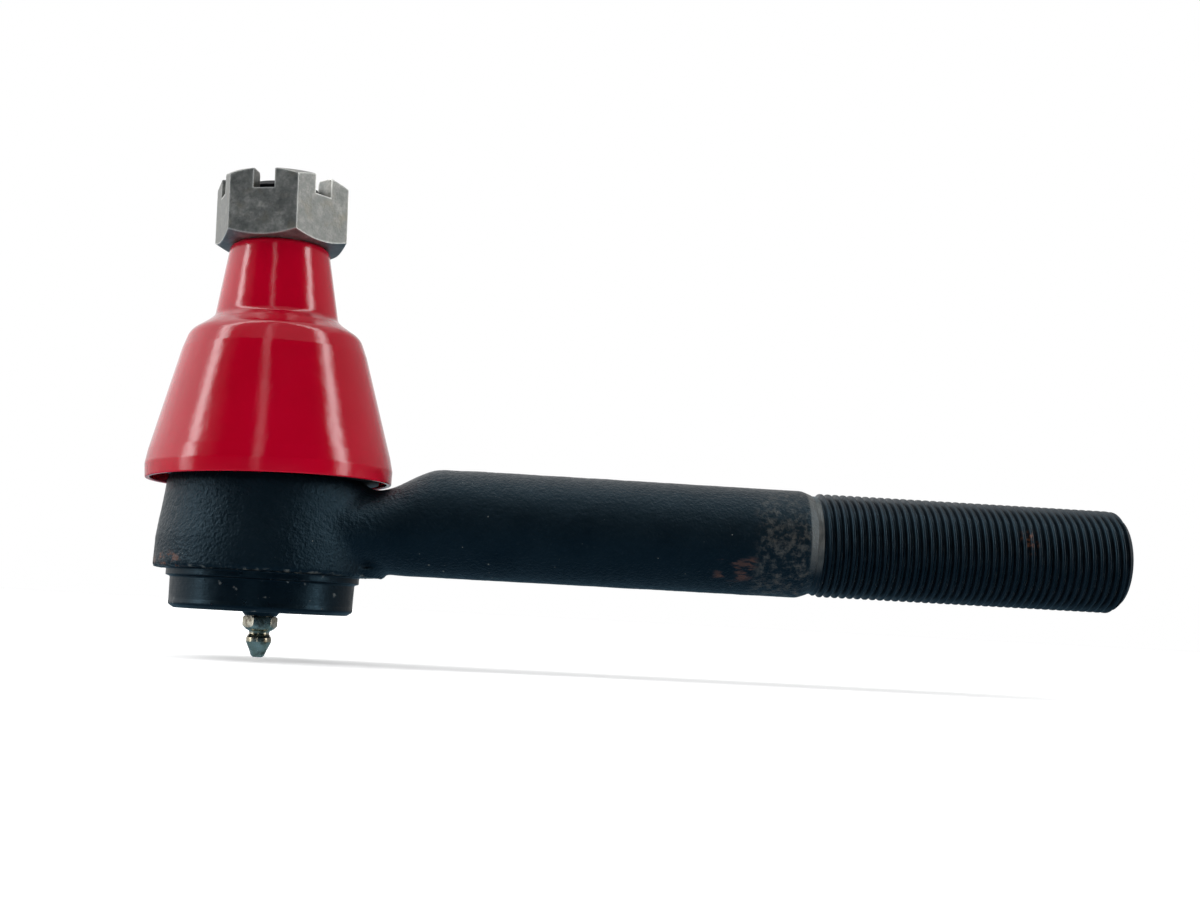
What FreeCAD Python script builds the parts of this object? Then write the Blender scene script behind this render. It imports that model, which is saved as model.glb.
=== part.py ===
import FreeCAD, Part
import math
import os
import Sketcher

V = FreeCAD.Vector

# Every driving size, in millimetres or degrees. The ball centre is the origin,
# +X runs along the shank and +Z along the stud when it stands square.
SIZES = [
    # stud lean at rest, and the ball
    ("lean_angle", -2.05),
    ("ball_radius", 14.3),
    ("ball_play", 0.08),
    # eye of the housing
    ("eye_top_radius", 25.6),
    ("eye_top_height", 9.3),
    ("eye_edge_radius", 26.5),
    ("eye_edge_height", 7.6),
    ("eye_upper_radius", 27.2),
    ("eye_upper_height", 0.0),
    ("eye_waist_radius", 28.3),
    ("eye_waist_height", -8.0),
    ("eye_low_radius", 28.3),
    ("eye_low_height", -14.9),
    ("eye_foot_radius", 27.6),
    ("eye_foot_height", -15.6),
    ("lip_radius", 24.9),
    ("lip_top_height", -15.75),
    ("lip_foot_height", -17.5),
    ("skirt_radius", 23.75),
    ("skirt_top_height", -17.9),
    ("skirt_round_height", -25.0),
    ("skirt_foot_radius", 22.7),
    ("skirt_foot_height", -26.0),
    ("crimp_radius", 19.6),
    ("crimp_top_height", -24.85),
    ("plate_seat_radius", 21.6),
    ("plate_seat_height", -22.5),
    ("seal_bore_radius", 20.6),
    ("bearing_bore_radius", 19.05),
    ("bearing_bore_foot", -19.4),
    ("shoulder_height", 6.8),
    ("throat_radius", 13.4),
    ("throat_flare_radius", 14.6),
    # neck and shank
    ("shank_radius", 14.6),
    ("shank_start", 44.0),
    ("relief_start", 143.0),
    ("relief_in", 146.2),
    ("relief_out", 146.8),
    ("relief_radius", 13.35),
    ("thread_start", 147.9),
    ("thread_radius", 14.22),
    ("thread_chamfer_start", 230.7),
    ("shank_end", 232.5),
    ("shank_end_radius", 12.3),
    ("thread_pitch", 2.1167),
    ("thread_depth", 1.23),
    ("neck_underside", -14.4),
    ("tongue_centre", 19.6),
    ("tongue_foot_radius", 11.4),
    ("tongue_top_radius", 13.6),
    ("tongue_height", 2.2),
    # ball stud
    ("stud_neck_radius", 9.8),
    ("stud_neck_end", 15.5),
    ("stud_seat_radius", 13.3),
    ("stud_flare_end", 22.5),
    ("taper_start", 32.5),
    ("taper_end", 62.0),
    ("taper_end_radius", 11.45),
    ("stud_relief_radius", 9.8),
    ("stud_relief_end", 65.0),
    ("stud_thread_radius", 11.0),
    ("stud_thread_start", 66.2),
    ("stud_chamfer_start", 87.0),
    ("stud_end", 88.4),
    ("stud_end_radius", 9.5),
    ("stud_thread_pitch", 1.8143),
    ("stud_thread_depth", 1.0),
    ("cotter_hole_radius", 2.0),
    ("cotter_hole_height", 79.5),
    ("ball_flat_height", -12.9),
    # shipping cap, outside then inside
    ("cap_wall", 1.3),
    ("cap_rim_height", 8.3),
    ("cap_rim_radius", 32.0),
    ("cap_band_radius", 32.2),
    ("cap_band_height", 12.0),
    ("cap_band_top_radius", 31.4),
    ("cap_band_top_height", 15.8),
    ("cap_shoulder_radius", 24.3),
    ("cap_shoulder_height", 42.8),
    ("cap_round_radius", 22.6),
    ("cap_round_height", 47.6),
    ("cap_step_radius", 18.2),
    ("cap_step_height", 50.6),
    ("cap_neck_radius", 16.2),
    ("cap_neck_height", 52.0),
    ("cap_top_radius", 13.1),
    ("cap_top_height", 71.5),
    ("cap_top_inner_radius", 12.6),
    ("cap_top_outer_height", 72.0),
    ("cap_hole_radius", 11.35),
    # slotted nut
    ("nut_flats", 31.75),
    ("nut_bottom", 72.05),
    ("nut_height", 17.95),
    ("nut_turn", 20.4),
    ("nut_bore_radius", 11.08),
    ("nut_chamfer_radius", 15.9),
    ("nut_chamfer_drop", 1.55),
    ("nut_chamfer_reach", 1.15),
    ("nut_slot_width", 5.7),
    ("nut_slot_depth", 5.4),
    # bearings, seat, spring, plate, seal
    ("bearing_radius", 19.0),
    ("upper_bearing_bore", 11.0),
    ("upper_bearing_foot", 0.4),
    ("upper_bearing_top", 6.75),
    ("lower_bearing_top", -0.6),
    ("lower_bearing_foot", -15.2),
    ("bearing_chamfer_radius", 17.6),
    ("bearing_chamfer_height", -13.8),
    ("grease_well_radius", 5.0),
    ("seat_radius", 15.5),
    ("seat_top", -15.25),
    ("seat_thickness", 1.0),
    ("seat_hole_radius", 4.5),
    ("seat_rim_drop", 1.2),
    ("spring_mean_radius", 11.5),
    ("spring_wire_radius", 0.9),
    ("spring_pitch", 2.15),
    ("spring_turns", 2.0),
    ("spring_start", -21.6),
    ("plate_radius", 21.5),
    ("plate_top", -22.55),
    ("plate_foot", -24.8),
    ("plate_boss_root_radius", 5.6),
    ("plate_boss_radius", 4.0),
    ("plate_boss_foot", -27.1),
    ("plate_thread_radius", 3.15),
    ("seal_radius", 19.55),
    ("seal_wire_radius", 0.9),
    ("seal_height", -21.6),
    # grease fitting
    ("fitting_stem_radius", 3.1),
    ("fitting_stem_top", -22.0),
    ("fitting_hex_flats", 7.94),
    ("fitting_hex_top", -27.15),
    ("fitting_hex_foot", -30.4),
    ("fitting_hex_turn", 17.4),
    ("fitting_shoulder_radius", 4.1),
    ("fitting_taper_foot", -31.1),
    ("fitting_neck_radius", 2.6),
    ("fitting_neck_foot", -31.9),
    ("fitting_head_radius", 3.25),
    ("fitting_head_top", -32.9),
    ("fitting_head_foot", -33.9),
    ("fitting_cone_radius", 2.15),
    ("fitting_cone_foot", -36.3),
    ("fitting_nose_radius", 1.75),
    ("fitting_nose_height", -37.4),
    ("fitting_tip_radius", 1.2),
    ("fitting_tip", -37.9),
    ("fitting_bore_radius", 1.3),
    ("fitting_mouth_radius", 0.85),
    ("fitting_seat_height", -36.5),
    ("fitting_seat_top", -36.0),
    ("check_ball_radius", 1.2),
    ("check_ball_height", -35.62),
    ("check_wire_radius", 0.2),
    ("check_coil_radius", 0.95),
    ("check_coil_foot", -34.1),
    ("check_coil_pitch", 1.6),
    ("check_coil_turns", 5.5),
    # dust boot, its rings and the retainer
    ("retainer_radius", 28.4),
    ("retainer_bore_radius", 17.0),
    ("retainer_foot", 9.4),
    ("retainer_top", 10.7),
    ("boot_foot", 10.8),
    ("boot_bead_radius", 25.6),
    ("boot_bead_top", 14.6),
    ("boot_lower_groove_radius", 24.4),
    ("boot_lower_groove_foot", 12.0),
    ("boot_lower_groove_top", 13.4),
    ("boot_groove_slope", 0.35),
    ("boot_bead_inner_radius", 23.2),
    ("boot_bead_inner_height", 12.9),
    ("boot_belly_radius", 25.9),
    ("boot_belly_height", 17.6),
    ("boot_waist_radius", 25.2),
    ("boot_waist_height", 20.2),
    ("boot_crown_radius", 21.5),
    ("boot_crown_height", 24.4),
    ("boot_collar_radius", 16.1),
    ("boot_collar_foot", 26.0),
    ("boot_upper_groove_radius", 15.3),
    ("boot_upper_groove_foot", 28.0),
    ("boot_upper_groove_top", 29.6),
    ("boot_top", 31.6),
    ("boot_bore_radius", 13.6),
    ("boot_lip_radius", 14.6),
    ("boot_lip_height", 24.2),
    ("boot_bore_foot", 25.2),
    ("boot_wall", 1.9),
    ("boot_mouth_radius", 20.5),
    ("upper_clamp_height", 28.8),
    ("upper_clamp_radius", 16.2),
    ("lower_clamp_radius", 25.3),
    ("clamp_wire_radius", 0.8),
    ("lower_clamp_height", 12.7),
]

# Stations along the shank, from inside the eye: place, height of the neck's
# top, and half of its width, which flares out to meet the eye.
NECK_STATIONS = [
    (18.0, 7.6, 20.6),
    (25.0, 7.8, 17.6),
    (31.0, 8.1, 15.6),
    (35.0, 10.2, 14.8),
    (40.0, 13.2, 14.5),
    (44.5, 14.6, 14.5),
    (48.0, 14.6, 14.5),
]

SIZE = dict(SIZES)


def make_sheet(doc):
    """Write every size into a spreadsheet under its own name."""
    sheet = doc.addObject("Spreadsheet::Sheet", "Sizes")
    for row, (name, value) in enumerate(SIZES, start=1):
        sheet.set("A%d" % row, name)
        sheet.set("B%d" % row, "%s" % value)
        sheet.setAlias("B%d" % row, name)
    doc.recompute()
    return sheet


def origin_plane(body, role):
    """Return a body's own origin plane."""
    for feature in body.Origin.OriginFeatures:
        if feature.Role == role:
            return feature
    raise ValueError(role)


def measure(ref):
    """Return the number a reference stands for, such as -bore or bore."""
    if isinstance(ref, (int, float)):
        return float(ref)
    if ref.startswith("-"):
        return -SIZE[ref[1:]]
    return SIZE[ref]


def bind(owner, prop, ref):
    """Tie a property or a sketch constraint to a size in the sheet."""
    if isinstance(ref, str):
        sign = "-" if ref.startswith("-") else ""
        owner.setExpression(prop, "%sSizes.%s" % (sign, ref.lstrip("-")))


def pin_point(sketch, index, refs):
    """Fix the start point of an edge at the sheet's two sizes."""
    for kind, axis, ref in (("DistanceX", -2, refs[0]), ("DistanceY", -1, refs[1])):
        if measure(ref) == 0.0:
            sketch.addConstraint(Sketcher.Constraint("PointOnObject", index, 1, axis))
        else:
            number = sketch.addConstraint(
                Sketcher.Constraint(kind, -1, 1, index, 1, measure(ref))
            )
            bind(sketch, "Constraints[%d]" % number, ref)


def outline(body, name, points, role="XZ_Plane"):
    """Draw a closed outline of straight edges through named sizes."""
    sketch = body.newObject("Sketcher::SketchObject", name)
    sketch.AttachmentSupport = (origin_plane(body, role), [""])
    sketch.MapMode = "FlatFace"
    spots = [V(measure(u), measure(v), 0) for u, v in points]
    count = len(spots)
    for i in range(count):
        sketch.addGeometry(Part.LineSegment(spots[i], spots[(i + 1) % count]), False)
    for i in range(count):
        sketch.addConstraint(Sketcher.Constraint("Coincident", i, 2, (i + 1) % count, 1))
    for i, refs in enumerate(points):
        pin_point(sketch, i, refs)
    return sketch


def turned(doc, name, points, axis="V_Axis"):
    """Make a body turned about one axis of its outline."""
    body = doc.addObject("PartDesign::Body", name)
    sketch = outline(body, name + "_outline", points)
    turn = body.newObject("PartDesign::Revolution", name + "_turn")
    turn.Profile = sketch
    turn.ReferenceAxis = (sketch, [axis])
    turn.Angle = 360
    sketch.Visibility = False
    body.Tip = turn
    doc.recompute()
    return body


def groove(body, name, points, axis="V_Axis"):
    """Turn a hollow out of a body."""
    sketch = outline(body, name + "_outline", points)
    cut = body.newObject("PartDesign::Groove", name)
    cut.Profile = sketch
    cut.ReferenceAxis = (sketch, [axis])
    cut.Angle = 360
    body.Tip = cut
    body.Document.recompute()
    return cut


def thread_points(start, radius, depth, pitch):
    """Cross-section of one thread groove with its run along the first axis."""
    half = 0.44 * pitch
    root = 0.07 * pitch
    over = 0.2
    flare = half * (1 + over / depth)
    return [
        (start - flare, radius + over),
        (start + flare, radius + over),
        (start + root, radius - depth),
        (start - root, radius - depth),
    ]


def cut_thread(body, name, points, axis, pitch, length):
    """Cut a right-hand helical groove into a body."""
    sketch = outline(body, name + "_outline", points)
    cut = body.newObject("PartDesign::SubtractiveHelix", name)
    cut.Profile = sketch
    cut.ReferenceAxis = (sketch, [axis])
    cut.Mode = 0
    bind(cut, "Pitch", pitch)
    cut.Height = length
    cut.Angle = 0
    cut.LeftHanded = False
    cut.Reversed = False
    body.Tip = cut
    body.Document.recompute()
    return cut


def part_object(doc, kind, name, **refs):
    """Add a primitive whose properties follow the sheet."""
    item = doc.addObject(kind, name)
    for prop, ref in refs.items():
        value = ref if isinstance(ref, int) else measure(ref)
        setattr(item, prop, value)
        bind(item, prop, ref)
    return item


def place(item, x=0.0, y=0.0, z=0.0, axis=None, angle=0.0):
    """Set an object's placement by a point and a turn about an axis."""
    turn = FreeCAD.Rotation(axis or V(0, 0, 1), angle)
    item.Placement = FreeCAD.Placement(V(x, y, z), turn)
    return item


def cut_from(doc, name, base, tool):
    """Take one solid away from another."""
    result = doc.addObject("Part::Cut", name)
    result.Base = base
    result.Tool = tool
    doc.recompute()
    return result


def joined(doc, name, items):
    """Join solids into one."""
    result = doc.addObject("Part::MultiFuse", name)
    result.Shapes = items
    result.Refine = True
    doc.recompute()
    return result


def neck_section(body, index, station, top, half_width):
    """Draw one oval of the neck, set across the shank."""
    sketch = body.newObject("Sketcher::SketchObject", "neck_section_%d" % index)
    sketch.AttachmentSupport = (origin_plane(body, "YZ_Plane"), [""])
    sketch.MapMode = "FlatFace"
    sketch.AttachmentOffset = FreeCAD.Placement(V(0, 0, station), FreeCAD.Rotation())
    foot = SIZE["neck_underside"]
    centre = 0.5 * (top + foot)
    half_height = 0.5 * (top - foot)
    half_width = max(half_width, half_height)
    oval = Part.Ellipse(
        V(half_width, centre, 0), V(0, centre + half_height, 0), V(0, centre, 0)
    )
    sketch.addGeometry(oval, False)
    return sketch


def build_housing(doc):
    """Forged eye, neck and threaded shank in one piece, hollow for the ball."""
    body = turned(
        doc,
        "socket_housing",
        [
            (0, "eye_top_height"),
            ("eye_top_radius", "eye_top_height"),
            ("eye_edge_radius", "eye_edge_height"),
            ("eye_upper_radius", "eye_upper_height"),
            ("eye_waist_radius", "eye_waist_height"),
            ("eye_low_radius", "eye_low_height"),
            ("eye_foot_radius", "eye_foot_height"),
            ("lip_radius", "lip_top_height"),
            ("lip_radius", "lip_foot_height"),
            ("skirt_radius", "skirt_top_height"),
            ("skirt_radius", "skirt_round_height"),
            ("skirt_foot_radius", "skirt_foot_height"),
            (0, "skirt_foot_height"),
        ],
    )
    sections = [
        neck_section(body, i, x, top, half_width)
        for i, (x, top, half_width) in enumerate(NECK_STATIONS)
    ]
    neck = body.newObject("PartDesign::AdditiveLoft", "neck")
    neck.Profile = sections[0]
    neck.Sections = sections[1:]
    body.Tip = neck
    doc.recompute()
    rod = outline(
        body,
        "shank_outline",
        [
            ("shank_start", 0),
            ("shank_start", "shank_radius"),
            ("relief_start", "shank_radius"),
            ("relief_in", "relief_radius"),
            ("relief_out", "relief_radius"),
            ("thread_start", "thread_radius"),
            ("thread_chamfer_start", "thread_radius"),
            ("shank_end", "shank_end_radius"),
            ("shank_end", 0),
        ],
    )
    shank = body.newObject("PartDesign::Revolution", "shank")
    shank.Profile = rod
    shank.ReferenceAxis = (rod, ["H_Axis"])
    shank.Angle = 360
    body.Tip = shank
    doc.recompute()
    tongue = body.newObject("PartDesign::AdditiveCone", "neck_tongue")
    bind(tongue, "Radius1", "tongue_foot_radius")
    bind(tongue, "Radius2", "tongue_top_radius")
    bind(tongue, "Height", "tongue_height")
    place(tongue, x=SIZE["tongue_centre"], z=SIZE["eye_foot_height"])
    body.Tip = tongue
    doc.recompute()
    groove(
        body,
        "ball_cavity",
        [
            (0, "eye_top_height"),
            ("throat_flare_radius", "eye_top_height"),
            ("throat_radius", "shoulder_height"),
            ("bearing_bore_radius", "shoulder_height"),
            ("bearing_bore_radius", "bearing_bore_foot"),
            ("seal_bore_radius", "bearing_bore_foot"),
            ("seal_bore_radius", "plate_seat_height"),
            ("plate_seat_radius", "plate_seat_height"),
            ("plate_seat_radius", "crimp_top_height"),
            ("crimp_radius", "crimp_top_height"),
            ("crimp_radius", "skirt_foot_height"),
            (0, "skirt_foot_height"),
        ],
    )
    start = SIZE["relief_out"] - 0.6
    cut_thread(
        body,
        "shank_thread",
        thread_points(
            start, SIZE["thread_radius"], SIZE["thread_depth"], SIZE["thread_pitch"]
        ),
        "H_Axis",
        "thread_pitch",
        SIZE["shank_end"] - start + 2 * SIZE["thread_pitch"],
    )
    return body


def build_ball_stud(doc):
    """Ball, neck, taper and threaded end with a cross hole for a cotter pin."""
    shaft = turned(
        doc,
        "stud_shaft",
        [
            (0, 0),
            ("stud_neck_radius", 0),
            ("stud_neck_radius", "stud_neck_end"),
            ("stud_seat_radius", "stud_flare_end"),
            ("stud_seat_radius", "taper_start"),
            ("taper_end_radius", "taper_end"),
            ("stud_relief_radius", "taper_end"),
            ("stud_relief_radius", "stud_relief_end"),
            ("stud_thread_radius", "stud_thread_start"),
            ("stud_thread_radius", "stud_chamfer_start"),
            ("stud_end_radius", "stud_end"),
            (0, "stud_end"),
        ],
    )
    start = SIZE["stud_relief_end"] - 0.8
    cross = thread_points(
        start,
        SIZE["stud_thread_radius"],
        SIZE["stud_thread_depth"],
        SIZE["stud_thread_pitch"],
    )
    cut_thread(
        shaft,
        "stud_thread",
        [(r, z) for z, r in cross],
        "V_Axis",
        "stud_thread_pitch",
        SIZE["stud_end"] - start + 2 * SIZE["stud_thread_pitch"],
    )
    ball = part_object(doc, "Part::Sphere", "stud_ball", Radius="ball_radius")
    whole = joined(doc, "stud_blank", [shaft, ball])
    flat = part_object(
        doc, "Part::Cylinder", "ball_flat", Radius="ball_radius", Height=5.0
    )
    place(flat, z=SIZE["ball_flat_height"] - 5.0)
    hole = part_object(
        doc, "Part::Cylinder", "cotter_hole", Radius="cotter_hole_radius", Height=40.0
    )
    place(hole, x=-20.0, z=SIZE["cotter_hole_height"], axis=V(0, 1, 0), angle=90)
    tools = joined(doc, "stud_cuts", [flat, hole])
    stud = cut_from(doc, "ball_stud", whole, tools)
    lean(stud)
    return stud


def lean(item):
    """Lean a piece with the stud, about the ball centre."""
    item.Placement = FreeCAD.Placement(
        V(0, 0, 0), FreeCAD.Rotation(V(0, 1, 0), SIZE["lean_angle"])
    )


def build_cap(doc):
    """Thin moulded cap: rim band, cone, rounded shoulder, upper cone and top."""
    wall = SIZE["cap_wall"]
    stations = [
        ("cap_rim_radius", "cap_rim_height"),
        ("cap_band_radius", "cap_band_height"),
        ("cap_band_top_radius", "cap_band_top_height"),
        ("cap_shoulder_radius", "cap_shoulder_height"),
        ("cap_round_radius", "cap_round_height"),
        ("cap_step_radius", "cap_step_height"),
        ("cap_neck_radius", "cap_neck_height"),
        ("cap_top_radius", "cap_top_height"),
        ("cap_top_inner_radius", "cap_top_outer_height"),
        ("cap_hole_radius", "cap_top_outer_height"),
    ]
    drops = [0.0, 0.0, -0.1, -0.3, -0.8, -1.3, -1.1]
    inner = []
    for (radius, height), drop in zip(stations[:7], drops):
        inner.append((SIZE[radius] - wall, SIZE[height] + drop))
    inner.append((SIZE["cap_top_radius"] - wall, SIZE["cap_top_outer_height"] - wall))
    inner.append((SIZE["cap_hole_radius"], SIZE["cap_top_outer_height"] - wall))
    cap = turned(doc, "protective_cap", stations + inner[::-1])
    lean(cap)
    return cap


def build_nut(doc):
    """Six-sided nut, chamfered at both ends, with six slots in its top."""
    height = SIZE["nut_height"]
    prism = part_object(
        doc, "Part::Prism", "nut_hexagon", Polygon=6, Height="nut_height"
    )
    prism.Circumradius = SIZE["nut_flats"] / math.sqrt(3)
    prism.setExpression("Circumradius", "Sizes.nut_flats / sqrt(3)")
    corner = SIZE["nut_flats"] / math.sqrt(3)
    reach = SIZE["nut_chamfer_reach"]
    drop = SIZE["nut_chamfer_drop"] * reach
    rim = SIZE["nut_chamfer_radius"]
    run = (corner - rim) * reach
    shell = turned(
        doc,
        "nut_chamfers",
        [
            ("nut_bore_radius", 0),
            (rim, 0),
            (rim + run, drop),
            (rim + run, height - drop),
            (rim, height),
            ("nut_bore_radius", height),
        ],
    )
    blank = doc.addObject("Part::MultiCommon", "nut_blank")
    blank.Shapes = [prism, shell]
    doc.recompute()
    slots = []
    for i in range(3):
        slot = part_object(
            doc,
            "Part::Box",
            "nut_slot_%d" % (i + 1),
            Length=50.0,
            Width="nut_slot_width",
            Height=10.0,
        )
        angle = math.radians(60 * i + 30)
        half = 0.5 * SIZE["nut_slot_width"]
        place(
            slot,
            x=-25.0 * math.cos(angle) + half * math.sin(angle),
            y=-25.0 * math.sin(angle) - half * math.cos(angle),
            z=height - SIZE["nut_slot_depth"],
            angle=60 * i + 30,
        )
        slots.append(slot)
    cutter = joined(doc, "nut_slots", slots)
    nut = cut_from(doc, "slotted_nut", blank, cutter)
    tilt = FreeCAD.Rotation(V(0, 1, 0), SIZE["lean_angle"])
    turn = FreeCAD.Rotation(V(0, 0, 1), SIZE["nut_turn"] - 90)
    nut.Placement = FreeCAD.Placement(
        tilt.multVec(V(0, 0, SIZE["nut_bottom"])), tilt.multiply(turn)
    )
    return nut


def build_upper_bearing(doc):
    """Ring that bears on the ball above its equator."""
    ring = turned(
        doc,
        "upper_bearing_ring",
        [
            ("upper_bearing_bore", "upper_bearing_foot"),
            ("bearing_radius", "upper_bearing_foot"),
            ("bearing_radius", "upper_bearing_top"),
            ("upper_bearing_bore", "upper_bearing_top"),
        ],
    )
    hollow = part_object(
        doc, "Part::Sphere", "upper_hollow", Radius=SIZE["ball_radius"] + SIZE["ball_play"]
    )
    return cut_from(doc, "upper_bearing", ring, hollow)


def build_lower_bearing(doc):
    """Cup that carries the ball from below."""
    cup = turned(
        doc,
        "lower_bearing_cup",
        [
            ("grease_well_radius", "lower_bearing_foot"),
            ("bearing_chamfer_radius", "lower_bearing_foot"),
            ("bearing_radius", "bearing_chamfer_height"),
            ("bearing_radius", "lower_bearing_top"),
            ("grease_well_radius", "lower_bearing_top"),
        ],
    )
    hollow = part_object(
        doc, "Part::Sphere", "lower_hollow", Radius=SIZE["ball_radius"] + SIZE["ball_play"]
    )
    return cut_from(doc, "lower_bearing", cup, hollow)


def build_spring_seat(doc):
    """Pressed washer with a turned-down rim that locates the spring."""
    top = SIZE["seat_top"]
    thick = SIZE["seat_thickness"]
    rim_foot = top - thick - SIZE["seat_rim_drop"]
    return turned(
        doc,
        "spring_seat",
        [
            ("seat_hole_radius", "seat_top"),
            ("seat_radius", "seat_top"),
            ("seat_radius", rim_foot),
            (SIZE["seat_radius"] - thick, rim_foot),
            (SIZE["seat_radius"] - thick, top - thick),
            ("seat_hole_radius", top - thick),
        ],
    )


def coil(doc, name, mean, wire, start, pitch, turns):
    """Round wire wound about the stud axis."""
    body = doc.addObject("PartDesign::Body", name)
    sketch = body.newObject("Sketcher::SketchObject", name + "_wire")
    sketch.AttachmentSupport = (origin_plane(body, "XZ_Plane"), [""])
    sketch.MapMode = "FlatFace"
    centre = V(SIZE[mean], SIZE[start], 0)
    sketch.addGeometry(Part.Circle(centre, V(0, 0, 1), SIZE[wire]), False)
    number = sketch.addConstraint(Sketcher.Constraint("Radius", 0, SIZE[wire]))
    bind(sketch, "Constraints[%d]" % number, wire)
    wound = body.newObject("PartDesign::AdditiveHelix", name + "_coil")
    wound.Profile = sketch
    wound.ReferenceAxis = (sketch, ["V_Axis"])
    wound.Mode = 1
    wound.Pitch = SIZE[pitch]
    wound.Turns = SIZE[turns]
    bind(wound, "Pitch", pitch)
    bind(wound, "Turns", turns)
    wound.Angle = 0
    body.Tip = wound
    doc.recompute()
    return body


def build_cover_plate(doc):
    """Closing plate with a central boss tapped for the grease fitting."""
    return turned(
        doc,
        "cover_plate",
        [
            ("plate_thread_radius", "plate_top"),
            ("plate_radius", "plate_top"),
            ("plate_radius", "plate_foot"),
            ("plate_boss_root_radius", "plate_foot"),
            ("plate_boss_radius", "plate_boss_foot"),
            ("plate_thread_radius", "plate_boss_foot"),
        ],
    )


def ring_of_wire(doc, name, mean, wire, height, shift=0.0):
    """Plain ring of round wire, lying flat at a height."""
    ring = part_object(doc, "Part::Torus", name, Radius1=mean, Radius2=wire)
    place(ring, x=shift, z=measure(height))
    return ring


def build_fitting(doc):
    """Grease fitting: threaded stem, hexagon, neck, head and cone."""
    turned_part = turned(
        doc,
        "fitting_turned",
        [
            ("fitting_bore_radius", "fitting_stem_top"),
            ("fitting_stem_radius", "fitting_stem_top"),
            ("fitting_stem_radius", "fitting_hex_foot"),
            ("fitting_shoulder_radius", "fitting_hex_foot"),
            ("fitting_neck_radius", "fitting_taper_foot"),
            ("fitting_neck_radius", "fitting_neck_foot"),
            ("fitting_head_radius", "fitting_head_top"),
            ("fitting_head_radius", "fitting_head_foot"),
            ("fitting_cone_radius", "fitting_cone_foot"),
            ("fitting_nose_radius", "fitting_nose_height"),
            ("fitting_tip_radius", "fitting_tip"),
            ("fitting_mouth_radius", "fitting_tip"),
            ("fitting_mouth_radius", "fitting_seat_height"),
            ("fitting_bore_radius", "fitting_seat_top"),
        ],
    )
    height = SIZE["fitting_hex_top"] - SIZE["fitting_hex_foot"]
    flats = part_object(
        doc,
        "Part::Prism",
        "fitting_hexagon",
        Polygon=6,
        Circumradius=SIZE["fitting_hex_flats"] / math.sqrt(3),
        Height=height,
    )
    flats.setExpression("Circumradius", "Sizes.fitting_hex_flats / sqrt(3)")
    place(flats, z=SIZE["fitting_hex_foot"], angle=SIZE["fitting_hex_turn"])
    bore = part_object(
        doc, "Part::Cylinder", "fitting_bore", Radius="fitting_stem_radius", Height=height
    )
    place(bore, z=SIZE["fitting_hex_foot"])
    collar = cut_from(doc, "fitting_collar", flats, bore)
    return joined(doc, "grease_fitting", [turned_part, collar])


def build_retainer(doc):
    """Flat steel ring that holds the boot's foot on the eye."""
    return turned(
        doc,
        "boot_retainer_ring",
        [
            ("retainer_bore_radius", "retainer_foot"),
            ("retainer_radius", "retainer_foot"),
            ("retainer_radius", "retainer_top"),
            ("retainer_bore_radius", "retainer_top"),
        ],
    )


def boot_shift(height):
    """How far the leaning stud carries the boot sideways at a height."""
    reach = SIZE["upper_clamp_height"]
    slope = math.tan(math.radians(SIZE["lean_angle"]))
    return slope * reach * (height - SIZE["boot_foot"]) / (reach - SIZE["boot_foot"])


def build_boot(doc):
    """Rubber boot: beaded foot, round belly and a collar carried by the stud."""
    wall = SIZE["boot_wall"]
    slope = SIZE["boot_groove_slope"]
    straight = turned(
        doc,
        "straight_boot",
        [
            ("boot_mouth_radius", "boot_foot"),
            ("boot_bead_radius", "boot_foot"),
            ("boot_bead_radius", SIZE["boot_lower_groove_foot"] - slope),
            ("boot_lower_groove_radius", "boot_lower_groove_foot"),
            ("boot_lower_groove_radius", "boot_lower_groove_top"),
            ("boot_bead_radius", SIZE["boot_lower_groove_top"] + slope),
            ("boot_bead_radius", "boot_bead_top"),
            ("boot_belly_radius", "boot_belly_height"),
            ("boot_waist_radius", "boot_waist_height"),
            ("boot_crown_radius", "boot_crown_height"),
            ("boot_collar_radius", "boot_collar_foot"),
            ("boot_collar_radius", SIZE["boot_upper_groove_foot"] - slope),
            ("boot_upper_groove_radius", "boot_upper_groove_foot"),
            ("boot_upper_groove_radius", "boot_upper_groove_top"),
            ("boot_collar_radius", SIZE["boot_upper_groove_top"] + slope),
            ("boot_collar_radius", "boot_top"),
            ("boot_bore_radius", "boot_top"),
            ("boot_bore_radius", "boot_bore_foot"),
            ("boot_lip_radius", "boot_lip_height"),
            (SIZE["boot_crown_radius"] - 0.5 * wall, SIZE["boot_crown_height"] - wall),
            (SIZE["boot_waist_radius"] - wall, SIZE["boot_waist_height"] - 0.4 * wall),
            (SIZE["boot_belly_radius"] - wall, SIZE["boot_belly_height"] - 0.2 * wall),
            ("boot_bead_inner_radius", "boot_bead_top"),
            ("boot_mouth_radius", "boot_bead_inner_height"),
        ],
    )
    flex = FreeCAD.Matrix()
    flex.A13 = boot_shift(1.0) - boot_shift(0.0)
    flex.A14 = boot_shift(0.0)
    boot = doc.addObject("Part::Feature", "dust_boot")
    boot.Shape = straight.Shape.transformGeometry(flex)
    return boot


def check_piece(item):
    """Stop if a piece is missing, broken or not one closed solid."""
    shape = item.Shape
    if shape.isNull() or not shape.isValid():
        raise ValueError("%s has no valid shape" % item.Label)
    if len(shape.Solids) != 1:
        raise ValueError("%s has %d solids" % (item.Label, len(shape.Solids)))


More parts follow.
